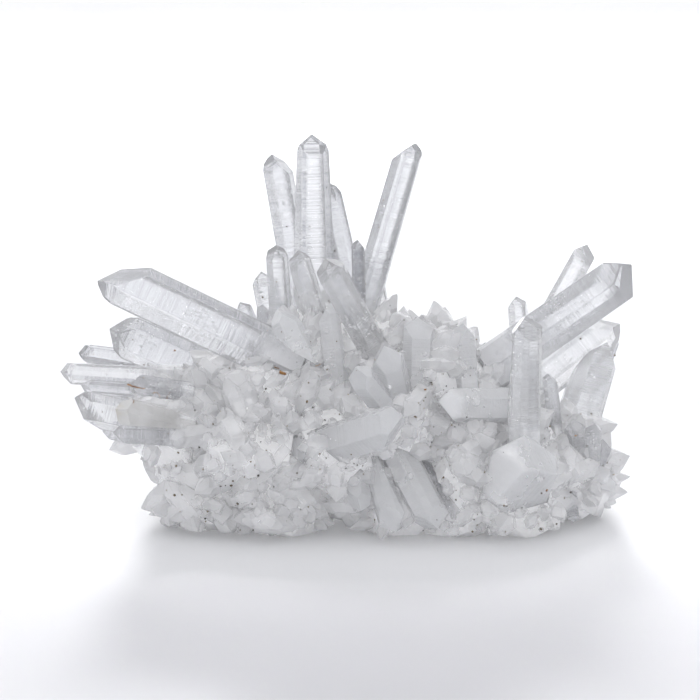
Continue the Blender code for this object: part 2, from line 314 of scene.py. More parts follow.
def growth_and_dark_band_group() -> ShaderGroup:
    """Growth lines of a prism face, different on every face, over a faintly etched surface, with painted
    dark bands on a few faces that stand in for dark reflections inside the crystal.

    Returns:
        The group, which puts out a height, and a mask of painted shade: ragged dark bands on a few faces
        that stand in for dark reflections.
    """
    inputs = {"Place": None, "Along": 0.0, "Facet": 0.0, "Prism": 1.0, "Depth": 1.0, "Etch": 0.0}
    group = ShaderGroup("growth_lines", inputs, ("Height", "Band"))
    place = group.math("MULTIPLY_ADD", group.source["Facet"], FACET_APART, group.source["Along"])
    fine = group.lines(place, FINE_LINES, Detail=3.0, Roughness=0.7)
    broad = group.lines(place, BROAD_LINES, Detail=2.0)
    both = group.math("MULTIPLY_ADD", broad, 2.0, fine)
    depth = group.math("MULTIPLY", group.source["Depth"], group.source["Prism"])
    etched = group.texture("Noise", group.source["Place"], ETCHING, Detail=5.0, Roughness=0.62)
    relief = group.math("MULTIPLY", etched.outputs[0], group.source["Etch"])
    group.feed(group.sink["Height"], group.math("MULTIPLY_ADD", both, depth, relief))
    # Painted shade: a few prism faces get ragged dark bands in place of the dark surroundings reflected
    # inside the crystal.
    chance = group.add("TexWhiteNoise", {"W": group.source["Facet"]}, noise_dimensions="1D").outputs["Value"]
    picked = group.math("GREATER_THAN", chance, PAINTED_BAND_ABOVE)
    picked = group.math("MULTIPLY", picked, group.source["Prism"])
    ragged = group.ramp(group.math("MULTIPLY_ADD", broad, 0.6, fine), 0.62, 0.95, 0.25, 1.0)
    group.feed(group.sink["Band"], group.math("MULTIPLY", picked, ragged))
    return group


def milk_group() -> ShaderGroup:
    """Milky clouding that is thick at a crystal's root and thins out towards its tip.

    Returns:
        The group, which puts out a mask from 0, clear, to 1, milky.
    """
    group = ShaderGroup("milk", {"Place": None, "Rise": 0.0, "Reach": 0.5, "Patch": MILK_PATCH}, ("Mask",))
    cloud = group.texture("Noise", group.source["Place"], group.source["Patch"], Detail=4.0)
    wander = group.math("MULTIPLY_ADD", cloud.outputs[0], MILK_WANDER, -MILK_WANDER / 2)
    level = group.math("ADD", group.source["Rise"], wander)
    mask = group.ramp(level, 0.0, group.source["Reach"], 1.0, 0.0)
    group.feed(group.sink["Mask"], mask)
    return group


def grain_group() -> ShaderGroup:
    """Sugary grain of broken quartz: small tilted cells, with painted shade in the low pits between some of
    them.

    Returns:
        The group, which puts out a height and a mask of painted shade in the pits.
    """
    group = ShaderGroup("grain", {"Place": None}, ("Height", "Pit"))
    cells = group.texture("Voronoi", group.source["Place"], GRAIN_CELL)
    coarse = group.texture("Noise", group.source["Place"], GRAIN_NOISE, Detail=5.0)
    height = group.math("MULTIPLY_ADD", cells.outputs["Distance"], 0.8, coarse.outputs[0])
    group.feed(group.sink["Height"], height)
    # Painted shade: the mask covers the low places of the bump, where shade falls.
    group.feed(group.sink["Pit"], group.ramp(coarse.outputs[0], 0.36, 0.28, 0.0, 1.0))
    return group


def stain_group() -> ShaderGroup:
    """Iron staining: warm patches that keep to some places of the surface.

    Returns:
        The group, which puts out a mask from 0 to 1.
    """
    group = ShaderGroup("iron_stain", {"Place": None, "Amount": 0.3}, ("Mask",))
    patch = group.texture("Noise", group.source["Place"], STAIN_PATCH, Detail=5.0)
    edge = group.math("SUBTRACT", STAIN_EDGE, group.math("MULTIPLY", group.source["Amount"], 0.4))
    mask = group.ramp(patch.outputs[0], edge, group.math("ADD", edge, STAIN_FADE))
    group.feed(group.sink["Mask"], mask)
    return group


class Effects:
    """The shader groups that the finishes share."""

    def __init__(self) -> None:
        """Makes each group once."""
        self.growth = growth_and_dark_band_group().tree
        self.milk = milk_group().tree
        self.grain = grain_group().tree
        self.stain = stain_group().tree


# ---------------------------------------------------------------- finishes


@dataclass(frozen=True)
class QuartzFinish:
    """A finish of crystal: how clear it is, how milky its root, how deep its growth lines, and how strongly
    dark reflections are painted in bands onto a few faces.
    """

    name: str
    slot: Clarity
    clear: Colour
    milk: Colour
    transmission: float
    polish: float
    frost: float
    reach: float
    lines: float
    passes: float
    etch: float = 0.7
    # How strongly the painted dark reflections show in the bands: painted shade, not a colour of the quartz.
    painted_dark_bands: float = 0.0
    stain: float = 0.0
    rust: Colour = (0.88, 0.82, 0.70)
    # The colour of the painted dark reflections in the bands.
    dark: Colour = (0.40, 0.41, 0.44)
    relief: float = 0.42
    depth: float = 0.12 * MM

    def material(self, effects: Effects) -> bpy.types.Material:
        """Builds the finish's material.

        Args:
            effects: the shared shader groups.

        Returns:
            The material.
        """
        surface = Surface(self.name)
        along, rise, prism, facet = (surface.mark(key) for key in ("along", "rise", "prism", "facet"))
        milk = surface.place(effects.milk, Place=surface.spot, Rise=rise, Reach=self.reach).outputs["Mask"]
        colour = surface.mix(milk, self.clear, self.milk)
        if self.stain:
            rust = surface.place(effects.stain, Place=surface.spot, Amount=self.stain).outputs["Mask"]
            colour = surface.mix(rust, colour, self.rust)
        growth = surface.place(
            effects.growth, Place=surface.spot, Along=along, Facet=facet, Prism=prism, Depth=self.lines,
            Etch=self.etch,
        ).outputs
        # Painted shade: darkens the ragged bands on a few prism faces, in place of dark reflections.
        if self.painted_dark_bands:
            colour = surface.mix(surface.math("MULTIPLY", growth["Band"], self.painted_dark_bands), colour, self.dark)
        bump = surface.bump(growth["Height"], self.relief, self.depth)
        surface.dress(
            Base_Color=colour, Roughness=surface.ramp(milk, 0.0, 1.0, self.polish, self.frost),
            Normal=bump, Transmission_Weight=self.transmission, IOR=QUARTZ_IOR,
        )
        surface.let_light_by(self.passes, ("Is Diffuse Ray", "Is Shadow Ray"))
        return surface.made


@dataclass(frozen=True)
class RockFinish:
    """The finish of the matrix: pale milky quartz, sugary where it broke."""

    name: str
    pale: Colour
    deep: Colour
    roughness: float
    passes: float
    # Painted shade in the grain's low pits: its colour and how much of it.
    pit: Colour = (0.62, 0.60, 0.56)
    pit_shade_share: float = 0.10
    rust: Colour = (0.70, 0.55, 0.38)
    rust_share: float = 0.5
    rust_amount: float = 0.12
    patch: float = 90.0
    relief: float = 0.6
    depth: float = 0.4 * MM

    def material(self, effects: Effects) -> bpy.types.Material:
        """Builds the finish's material.

        Args:
            effects: the shared shader groups.

        Returns:
            The material.
        """
        surface = Surface(self.name)
        grain = surface.place(effects.grain, Place=surface.spot).outputs
        patch = surface.texture("Noise", surface.spot, self.patch, Detail=3.0).outputs[0]
        colour = surface.mix(surface.ramp(patch, 0.35, 0.65), self.pale, self.deep)
        # Painted shade: darkens the grain's low pits.
        colour = surface.mix(surface.math("MULTIPLY", grain["Pit"], self.pit_shade_share), colour, self.pit)
        rust = surface.place(effects.stain, Place=surface.spot, Amount=self.rust_amount).outputs["Mask"]
        colour = surface.mix(surface.math("MULTIPLY", rust, self.rust_share), colour, self.rust)
        bump = surface.bump(grain["Height"], self.relief, self.depth)
        surface.dress(Base_Color=colour, Roughness=self.roughness, Normal=bump, IOR=QUARTZ_IOR)
        surface.let_light_by(self.passes, ("Is Diffuse Ray",))
        return surface.made


@dataclass(frozen=True)
class GrainFinish:
    """A plain dull finish in two mingled colours, for small things in and on the quartz."""

    name: str
    light: Colour
    dark: Colour
    roughness: float
    patch: float = 600.0

    def material(self) -> bpy.types.Material:
        """Builds the finish's material.

        Returns:
            The material.
        """
        surface = Surface(self.name)
        mingled = surface.ramp(surface.texture("Noise", surface.spot, self.patch).outputs[0], 0.4, 0.6)
        surface.dress(Base_Color=surface.mix(mingled, self.light, self.dark), Roughness=self.roughness)
        return surface.made


@dataclass(frozen=True)
class CloudFinish:
    """The milky cloud in a crystal's root: dense at the root, and gone before the tip."""

    name: str
    colour: Colour
    thin_colour: Colour
    dense: float
    gone: float
    steep: float = 1.9
    patch: float = 220.0
    thickest: float = 0.92

    def material(self, effects: Effects) -> bpy.types.Material:
        """Builds the finish's material.

        Args:
            effects: the shared shader groups.

        Returns:
            The material.
        """
        surface = Surface(self.name)
        level = surface.ramp(surface.mark("rise"), self.dense, self.gone, 0.0, self.steep)
        cloud = surface.place(effects.milk, Place=surface.spot, Rise=level, Reach=1.0, Patch=self.patch)
        mask = cloud.outputs["Mask"]
        surface.dress(
            Base_Color=surface.mix(mask, self.thin_colour, self.colour),
            Alpha=surface.math("MULTIPLY", mask, self.thickest), Roughness=0.5,
        )
        return surface.made


CLEAR = QuartzFinish(
    "clear_crystal", Clarity.CLEAR, clear=(0.88, 0.885, 0.90), milk=(0.92, 0.925, 0.94), transmission=0.82,
    polish=0.02, frost=0.22, reach=0.45, lines=9.0, passes=0.92, painted_dark_bands=0.45,
)
GLASSY = QuartzFinish(
    "glassy_crystal", Clarity.CLEAR, clear=(0.87, 0.875, 0.89), milk=(0.92, 0.925, 0.94), transmission=0.93,
    polish=0.01, frost=0.16, reach=0.4, lines=11.0, passes=0.93, etch=0.5, painted_dark_bands=0.6,
)
RIBBED = QuartzFinish(
    "ribbed_crystal", Clarity.CLEAR, clear=(0.88, 0.885, 0.90), milk=(0.90, 0.905, 0.92), transmission=0.95,
    polish=0.01, frost=0.12, reach=0.3, lines=19.0, passes=0.92, etch=0.4, painted_dark_bands=0.95,
)
LUCID = QuartzFinish(
    "lucid_crystal", Clarity.CLEAR, clear=(0.975, 0.978, 0.985), milk=(0.975, 0.978, 0.985),
    transmission=0.92, polish=0.01, frost=0.2, reach=0.4, lines=9.0, passes=0.96, etch=0.5, painted_dark_bands=0.4,
)
MILKY = QuartzFinish(
    "milky_crystal", Clarity.MILKY, clear=(0.91, 0.915, 0.93), milk=(0.955, 0.958, 0.968), transmission=0.5,
    polish=0.08, frost=0.32, reach=0.95, lines=7.0, passes=0.88, etch=14.0,
)
STAINED = QuartzFinish(
    "stained_crystal", Clarity.STAINED, clear=(0.93, 0.925, 0.91), milk=(0.93, 0.92, 0.90), transmission=0.7,
    polish=0.05, frost=0.25, reach=0.8, lines=3.0, passes=0.86, stain=0.35,
)
SUGAR = QuartzFinish(
    "druse_crystal", Clarity.ROCK, clear=(0.98, 0.98, 0.985), milk=(0.98, 0.98, 0.985), transmission=0.66,
    polish=0.03, frost=0.15, reach=0.9, lines=1.0, passes=0.96, etch=10.0,
)
ROCK = RockFinish("matrix_rock", (0.98, 0.978, 0.975), (0.965, 0.965, 0.975), roughness=0.35, passes=0.8)
VEIL = GrainFinish("inner_veil", (0.97, 0.975, 0.985), (0.90, 0.905, 0.92), roughness=0.2)
MINERAL = GrainFinish("mineral_grain", (0.20, 0.15, 0.09), (0.04, 0.035, 0.03), roughness=0.5)
IRON = GrainFinish("iron_fibre", (0.38, 0.19, 0.06), (0.22, 0.10, 0.04), roughness=0.6)
MILK_ROOT = CloudFinish("milky_root", (0.98, 0.982, 0.99), (0.93, 0.935, 0.95), dense=0.05, gone=0.48)

# What a crystal takes by its slot, unless it is named as special.
SLOT_FINISHES = (CLEAR, MILKY, STAINED)
SPECIAL_FINISHES = {
    GLASSY: (
        "rear_spire_right", "rear_spire_left", "rear_blade", "left_main", "left_second", "right_main",
        "left_low_rear", "back_long", "back_left_long", "back_right_long",
    ),
    RIBBED: ("rear_spire_centre", "crown_needle"),
    LUCID: (
        "crown_left_prism", "crown_outer_prism", "crown_low_prism", "crown_front_prism", "right_second",
        "right_rear", "right_lower", "left_low_front", "left_low_point", "crown_right_prism",
        "right_front_prism", "right_rear_small",
    ),
}


# ---------------------------------------------------------------- shared modelling


def show(piece: bpy.types.Object, material: bpy.types.Material, slot: str, *nodes: str) -> bpy.types.Object:
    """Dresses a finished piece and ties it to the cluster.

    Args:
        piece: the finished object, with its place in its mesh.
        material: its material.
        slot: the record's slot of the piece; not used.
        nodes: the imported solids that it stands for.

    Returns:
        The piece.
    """
    piece.data.materials.clear()
    piece.data.materials.append(material)
    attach(piece, "root")
    if nodes:
        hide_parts(*nodes)
    LOG.info("%s: %d faces", piece.name, len(piece.data.polygons))
    return piece


def as_object(name: str, bm: bmesh.types.BMesh) -> bpy.types.Object:
    """Turns a bmesh in the cluster's frame into an object at the origin.

    Args:
        name: the object's name.
        bm: the shape, which is freed.

    Returns:
        The linked object.
    """
    piece = bpy.data.objects.new(name, as_mesh(name, bm))
    bpy.context.scene.collection.objects.link(piece)
    return piece


def as_mesh(name: str, bm: bmesh.types.BMesh) -> bpy.types.Mesh:
    """Turns a bmesh into a mesh.

    Args:
        name: the mesh's name.
        bm: the shape, which is freed.

    Returns:
        The mesh.
    """
    mesh = bpy.data.meshes.new(name)
    bm.to_mesh(mesh)
    bm.free()
    return mesh


def pour(mesh: bpy.types.Mesh, whole: bmesh.types.BMesh) -> None:
    """Adds a mesh to a shape, and removes the mesh.

    Args:
        mesh: the mesh.
        whole: the shape.
    """
    whole.from_mesh(mesh)
    bpy.data.meshes.remove(mesh)


def skin_of(*meshes: bpy.types.Mesh) -> BVHTree:
    """The outside of some meshes, ready for nearest places and rays.

    Args:
        meshes: the meshes.

    Returns:
        The search tree.
    """
    bm = bmesh.new()
    for mesh in meshes:
        bm.from_mesh(mesh)
    skin = BVHTree.FromBMesh(bm)
    bm.free()
    return skin


def parts_of(bm: bmesh.types.BMesh) -> list:
    """All of a shape's vertices, edges and faces, as the cutting operator takes them."""
    return bm.verts[:] + bm.edges[:] + bm.faces[:]


def middle_of(bm: bmesh.types.BMesh) -> Vector:
    """The mean of a shape's vertices."""
    return sum((vert.co for vert in bm.verts), Vector()) / len(bm.verts)


def span_of(bm: bmesh.types.BMesh, axis: Vector) -> tuple[float, float]:
    """How far a shape reaches along an axis, as its lowest and highest place."""
    heights = [vert.co.dot(axis) for vert in bm.verts]
    return min(heights), max(heights)


def across(offset: Vector, axis: Vector) -> Vector:
    """What is left of an offset when its way along an axis is taken off."""
    return offset - axis * offset.dot(axis)


def scattered(rng: random.Random, spread: float) -> Vector:
    """A random offset, most often within the given spread."""
    return Vector([rng.gauss(0, spread) for _ in range(3)])


def ends_of(crystal: bpy.types.Object) -> tuple[Vector, Vector]:
    """A corner at a finished crystal's root and one at its tip.

    Args:
        crystal: the finished crystal.

    Returns:
        The two points.
    """
    rises = [item.value for item in crystal.data.attributes["rise"].data]
    corners = crystal.data.vertices
    return corners[rises.index(min(rises))].co, corners[rises.index(max(rises))].co


def packed_mesh(crystal: bpy.types.Object) -> bpy.types.Mesh:
    """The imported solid's mesh that a finished crystal stands for."""
    return frame["nodes"][crystal.name.removesuffix(CrystalPiece.ENDING)].data


def merged_solid(node: str) -> bmesh.types.BMesh:
    """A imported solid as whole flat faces.

    Args:
        node: the solid's name.

    Returns:
        A bmesh of a merged copy of it.
    """
    bm = bmesh.new()
    bm.from_mesh(frame["nodes"][node].data)
    bmesh.ops.remove_doubles(bm, verts=bm.verts, dist=MERGE_WITHIN)
    bmesh.ops.dissolve_limit(bm, angle_limit=FLAT_WITHIN, verts=bm.verts, edges=bm.edges)
    bmesh.ops.recalc_face_normals(bm, faces=bm.faces)
    return bm


class SurfacePlaces:
    """Random places on a mesh, spread evenly over its area."""

    def __init__(self, mesh: bpy.types.Mesh) -> None:
        """Reads the mesh's triangles.

        Args:
            mesh: the mesh, in the cluster's frame.
        """
        mesh.calc_loop_triangles()
        self.corners = [vert.co.copy() for vert in mesh.vertices]
        self.faces = [(tuple(face.vertices), face.normal.copy()) for face in mesh.loop_triangles]
        self.areas = [face.area for face in mesh.loop_triangles]

    def pick(self, rng: random.Random, count: int) -> list[tuple[Vector, Vector]]:
        """Picks places.

        Args:
            rng: where the chance comes from.
            count: how many places.

        Returns:
            Each place with the surface's normal there.
        """
        places = []
        for corners, normal in rng.choices(self.faces, self.areas, k=count):
            first, second, third = (self.corners[corner] for corner in corners)
            low, high = sorted((rng.random(), rng.random()))
            places.append((first * low + second * (high - low) + third * (1 - high), normal))
        return places


# ---------------------------------------------------------------- crystals


# How far the edges of the worn and milky crystals are rounded. The others are sharp.
WORN = {
    "rear_spire_left": 1.1 * MM, "rear_spire_right": 0.6 * MM, "crown_left_prism": 0.7 * MM,
    "crown_outer_prism": 0.9 * MM, "crown_low_prism": 1.0 * MM, "crown_front_prism": 0.8 * MM,
    "crown_shoulder": 0.7 * MM, "right_main": 1.2 * MM, "right_rear": 0.8 * MM, "right_rear_small": 0.8 * MM,
    "right_milky_block": 0.7 * MM, "left_second": 0.8 * MM, "left_low_stub": 0.8 * MM, "left_foot": 0.6 * MM,
    "centre_column": 0.6 * MM, "centre_right_column": 1.0 * MM, "front_head": 1.3 * MM,
    "front_head_left": 0.8 * MM, "front_diagonal": 0.8 * MM, "front_fan_left": 0.7 * MM,
}


def axis_of(bm: bmesh.types.BMesh) -> Vector:
    """A crystal's long axis, from its root to its tip.

    Args:
        bm: the crystal's solid.

    Returns:
        The axis as a unit vector.
    """
    longest = max(bm.edges, key=lambda edge: edge.calc_length())
    axis = (longest.verts[1].co - longest.verts[0].co).normalized()
    total = Vector()
    for edge in bm.edges:
        along = edge.verts[1].co - edge.verts[0].co
        share = along.dot(axis) / max(along.length, 1e-9)
        if abs(share) > 0.95:
            total += along * math.copysign(along.length, share)
    axis = total.normalized()
    return axis if (middle_of(bm) - CLUSTER_HEART).dot(axis) > 0 else -axis


@dataclass
class CrystalPiece:
    """A named crystal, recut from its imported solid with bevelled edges, side facets and growth steps."""

    ENDING: ClassVar[str] = "_crystal"

    node: str
    slot: str
    edge: float = 0.14 * MM
    sharp_above: float = math.radians(12)
    first_step: float = 1.5 * MM
    step_every: tuple[float, float] = (0.5 * MM, 2.6 * MM)
    step_depth: float = 0.09 * MM
    shave: tuple[float, float] = (0.15 * MM, 0.9 * MM)
    shave_tilt: float = 0.012
    shaved_share: float = 0.45
    long_edge: float = 4 * MM
    long_enough: float = 10 * MM
    prism_below: float = 0.3

    def cut(self, bm: bmesh.types.BMesh, point: Vector, normal: Vector, keep: bool = False) -> None:
        """Cuts the solid by a plane.

        Args:
            bm: the solid.
            point: a point on the plane.
            normal: the plane's normal, towards the side that goes.
            keep: whether both sides stay, so that the plane only leaves a loop of edges.
        """
        bmesh.ops.bisect_plane(
            bm, geom=parts_of(bm), plane_co=point, plane_no=normal, clear_outer=not keep, dist=ON_PLANE
        )
        if not keep:
            open_edges = [edge for edge in bm.edges if edge.is_boundary]
            if open_edges:
                bmesh.ops.edgeloop_fill(bm, edges=open_edges)

    def shave_edges(self, bm: bmesh.types.BMesh, axis: Vector, rng: random.Random) -> None:
        """Cuts narrow extra facets along some of the prism's long edges.

        Args:
            bm: the solid.
            axis: its long axis.
            rng: the crystal's own random numbers.
        """
        planes = []
        for edge in bm.edges:
            along = edge.verts[1].co - edge.verts[0].co
            lengthwise = along.length >= self.long_edge and abs(along.normalized().dot(axis)) >= 0.97
            if len(edge.link_faces) == 2 and lengthwise and rng.random() < self.shaved_share:
                outward = (edge.link_faces[0].normal + edge.link_faces[1].normal).normalized()
                tilt = axis * rng.uniform(-self.shave_tilt, self.shave_tilt)
                middle = (edge.verts[0].co + edge.verts[1].co) / 2
                planes.append((middle - outward * rng.uniform(*self.shave), (outward + tilt).normalized()))
        for point, normal in planes:
            self.cut(bm, point, normal)

    def growth_steps(self, bm: bmesh.types.BMesh, axis: Vector, rng: random.Random) -> None:
        """Rings the prism with shallow steps, as uneven growth leaves them.

        Args:
            bm: the solid.
            axis: its long axis.
            rng: the crystal's own random numbers.
        """
        low, high = span_of(bm, axis)
        width = math.sqrt(max(face.calc_area() for face in bm.faces) / max(high - low, MERGE_WITHIN)) * 1.2
        level = low + self.first_step
        middle = middle_of(bm)
        levels = []
        while level < high - width * 0.7:
            levels.append(level)
            level += rng.uniform(*self.step_every)
        for level in levels:
            self.cut(bm, axis * level, axis, keep=True)
        for level in levels:
            grown = rng.uniform(-self.step_depth, self.step_depth)
            for vert in bm.verts:
                if abs(vert.co.dot(axis) - level) < MERGE_WITHIN:
                    vert.co += across(vert.co - middle, axis).normalized() * grown

    def measure(self, piece: bpy.types.Object, axis: Vector, rng: random.Random) -> None:
        """Writes what the finish reads: the way along the crystal, and what each face is.

        Args:
            piece: the finished crystal.
            axis: its long axis.
            rng: the crystal's own random numbers.
        """
        mesh = piece.data
        heights = [vert.co.dot(axis) for vert in mesh.vertices]
        low, high = min(heights), max(heights)
        start = rng.uniform(0, 0.5)
        normals = [face.normal for face in mesh.polygons]
        for name, domain, values in (
            ("along", "POINT", [start + height - low for height in heights]),
            ("rise", "POINT", [(height - low) / (high - low) for height in heights]),
            ("prism", "FACE", [float(abs(normal.dot(axis)) < self.prism_below) for normal in normals]),
            ("facet", "FACE", [round(math.atan2(normal.x + normal.z, normal.y), 1) for normal in normals]),
        ):
            mesh.attributes.new(name, "FLOAT", domain).data.foreach_set("value", values)

    def build(self, material: bpy.types.Material) -> bpy.types.Object:
        """Builds and dresses the crystal.

        Args:
            material: its finish's material.

        Returns:
            The crystal's object.
        """
        rng = random.Random(self.node)
        bm = merged_solid(self.node)
        axis = axis_of(bm)
        low, high = span_of(bm, axis)
        long_enough = high - low > self.long_enough
        edge = WORN.get(self.node, self.edge)
        worn = edge > self.edge
        if long_enough and not worn:
            self.shave_edges(bm, axis, rng)
        bmesh.ops.recalc_face_normals(bm, faces=bm.faces)
        closed = [line for line in bm.edges if len(line.link_faces) == 2]
        rounded = bmesh.ops.bevel(
            bm, geom=[line for line in closed if line.calc_face_angle(0) > self.sharp_above], offset=edge,
            offset_type="OFFSET", segments=3 if worn else 2, profile=0.5, affect="EDGES", material=-1,
            clamp_overlap=True,
        )
        for face in rounded["faces"]:
            face.smooth = True
        if long_enough:
            self.growth_steps(bm, axis, rng)
        bmesh.ops.recalc_face_normals(bm, faces=bm.faces)
        bm.faces.sort(key=lambda face: face.calc_center_median().dot(SORT_WAY))
        piece = as_object(self.node + self.ENDING, bm)
        self.measure(piece, axis, rng)
        return show(piece, material, self.slot, self.node)


# ---------------------------------------------------------------- matrix


class Seat(NamedTuple):
    """Where a short crystal of the crust grows: its spot, its way out, and its share of the full length."""

    spot: Vector
    out: Vector
    share: float


@dataclass
class MatrixRock:
    """The matrix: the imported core, with a crust of short crystals grown on it."""

    crust: int = 5200
    clear_of_named: float = 0.35 * MM
    clear_of_base: float = 1.2 * MM
    on_rims: int = 6000
    rim: float = 1.3 * MM
    shallow: float = 1.5 * MM
    on_shallow_root: int = 16
    root_spread: float = 2.2 * MM
    on_each_host: int = 30
    short: tuple[float, float] = (1.8 * MM, 8.5 * MM)
    thin: tuple[float, float] = (1.3 * MM, 5.6 * MM)
    bundle: float = 60.0
    bundle_lean: float = 1.2
    lean: float = 0.16
    steepest_down: float = -0.55
    floor_gap: float = 0.3 * MM
    kinds: int = 24
    seed: int = 7

    def short_crystal(self, rng: random.Random) -> bpy.types.Mesh:
        """A short pointed crystal, 1 wide and 1 tall above its root.

        Args:
            rng: where the chance comes from.

        Returns:
            The mesh to copy.
        """
        bm = bmesh.new()
        bmesh.ops.create_cone(bm, cap_ends=True, segments=6, radius1=0.56, radius2=0.53, depth=2.0)
        bmesh.ops.translate(bm, verts=bm.verts, vec=(0, 0, 0.2))
        for side in range(6):
            angle = math.radians(60 * side + 30)
            drop = 0.0 if side % 2 else -rng.uniform(0.02, 0.22)
            drop += rng.uniform(0, 0.25) if side == 1 else 0.0
            outward = Vector((math.cos(angle) * 0.8, math.sin(angle) * 0.8, 0.6)).normalized()
            apex = Vector((0, 0, 1.0 - drop))
            bmesh.ops.bisect_plane(
                bm, geom=parts_of(bm), plane_co=apex, plane_no=outward, clear_outer=True, dist=1e-5
            )
            bmesh.ops.edgeloop_fill(bm, edges=[edge for edge in bm.edges if edge.is_boundary])
        bmesh.ops.recalc_face_normals(bm, faces=bm.faces)
        return as_mesh("short_crystal", bm)

    def seats_on_core(self, core: bpy.types.Mesh, named: bpy.types.Mesh, rng: random.Random) -> list[Seat]:
        """Finds seats all over the core, clear of the named crystals.

        Args:
            core: the core.
            named: the named crystals as one mesh.
            rng: where the chance comes from.

        Returns:
            The seats.
        """
        seats = []
        crystals = skin_of(named)
        for spot, normal in SurfacePlaces(core).pick(rng, self.crust):
            _, _, _, away = crystals.find_nearest(spot)
            if away > self.clear_of_named and spot.z > self.clear_of_base:
                seats.append(Seat(spot, normal, 1.0))
        return seats

    def seats_on_rims(
        self, skin: BVHTree, named: bpy.types.Mesh, roots: list[Vector], rng: random.Random
    ) -> list[Seat]:
        """Finds seats round the sockets, and over the roots that are shallow.

        Args:
            skin: the core's outside.
            named: the named crystals as one mesh.
            roots: the middles of the crystals' root faces.
            rng: where the chance comes from.

        Returns:
            The seats.
        """
        seats = []
        for spot, normal in SurfacePlaces(named).pick(rng, self.on_rims):
            near, out, _, away = skin.find_nearest(spot)
            if (spot - near).dot(out) > 0 and self.clear_of_named < away < self.rim:
                seats.append(Seat(spot, (normal * 0.4 + out).normalized(), rng.uniform(0.25, 0.6)))
        for root in roots:
            middle, out, _, _ = skin.find_nearest(root)
            if (root - middle).dot(out) > -self.shallow:
                for _ in range(self.on_shallow_root):
                    spot, normal, _, _ = skin.find_nearest(middle + scattered(rng, self.root_spread))
                    seats.append(Seat(spot, (normal + out * 0.5).normalized(), rng.uniform(0.5, 0.95)))
        return seats

    def seats_on_hosts(self, hosts: list[bpy.types.Object], rng: random.Random) -> list[Seat]:
        """Finds seats on larger crystals, most of them near the root.

        Args:
            hosts: the crystals that smaller ones grow on.
            rng: where the chance comes from.

        Returns:
            The seats.
        """
        seats = []
        for host in hosts:
            root, tip = ends_of(host)
            for spot, normal in SurfacePlaces(packed_mesh(host)).pick(rng, self.on_each_host):
                if (spot - root).length < (tip - root).length * rng.uniform(0.3, 0.9):
                    seats.append(Seat(spot, normal, rng.uniform(0.2, 0.5)))
        return seats

    def grow(self, seats: list[Seat], kinds: list[bpy.types.Mesh], rng: random.Random) -> bmesh.types.BMesh:
        """Sets a short crystal on each seat, in bundles that lean the same way.

        Args:
            seats: where they grow.
            kinds: the meshes to copy.
            rng: where the chance comes from.

        Returns:
            The crust's shape.
        """
        crust = bmesh.new()
        for spot, out, share in seats:
            lean = noise.noise_vector(spot * self.bundle) * self.bundle_lean
            along = (out + lean + scattered(rng, self.lean)).normalized()
            if along.z < self.steepest_down:
                continue
            length = share * rng.uniform(*self.short) * rng.uniform(0.35, 1.0)
            width = min(max(length * rng.uniform(0.5, 1.1), share * self.thin[0]), self.thin[1])
            turn = along.to_track_quat("Z", "Y").to_matrix().to_4x4()
            spin = Matrix.Rotation(rng.uniform(0, FULL_TURN), 4, "Z")
            lump = rng.choice(kinds).copy()
            stretch = Matrix.Diagonal((width, width, length, 1))
            lump.transform(Matrix.Translation(spot) @ turn @ spin @ stretch)
            if min(vert.co.z for vert in lump.vertices) > self.floor_gap:
                crust.from_mesh(lump)
            bpy.data.meshes.remove(lump)
        return crust

    def build(
        self, rock: bpy.types.Material, sugar: bpy.types.Material, named: bpy.types.Mesh,
        hosts: list[bpy.types.Object], roots: list[Vector],
    ) -> list[bpy.types.Object]:
        """Builds and dresses the core and its crust.

        Args:
            rock: the core's material.
            sugar: the crust's material.
            named: the named crystals as one mesh.
            hosts: the crystals that smaller ones grow on.
            roots: the middles of the crystals' root faces.

        Returns:
            The two pieces.
        """
        core = as_object("matrix_core", merged_solid("matrix"))
        rng = random.Random(self.seed)
        noise.seed_set(self.seed)
        kinds = [self.short_crystal(rng) for _ in range(self.kinds)]
        seats = self.seats_on_core(core.data, named, rng)
        seats += self.seats_on_rims(skin_of(core.data), named, roots, rng)
        seats += self.seats_on_hosts(hosts, rng)
        crust = as_object("matrix_crust", self.grow(seats, kinds, rng))
        for kind in kinds:
            bpy.data.meshes.remove(kind)
        count = len(crust.data.vertices)
        for name, value in (("along", 0.0), ("rise", 0.5)):
            crust.data.attributes.new(name, "FLOAT", "POINT").data.foreach_set("value", [value] * count)
        show(core, rock, Clarity.ROCK.value, "matrix")
        show(crust, sugar, Clarity.ROCK.value)
        return [core, crust]


# ---------------------------------------------------------------- small things in and on the quartz


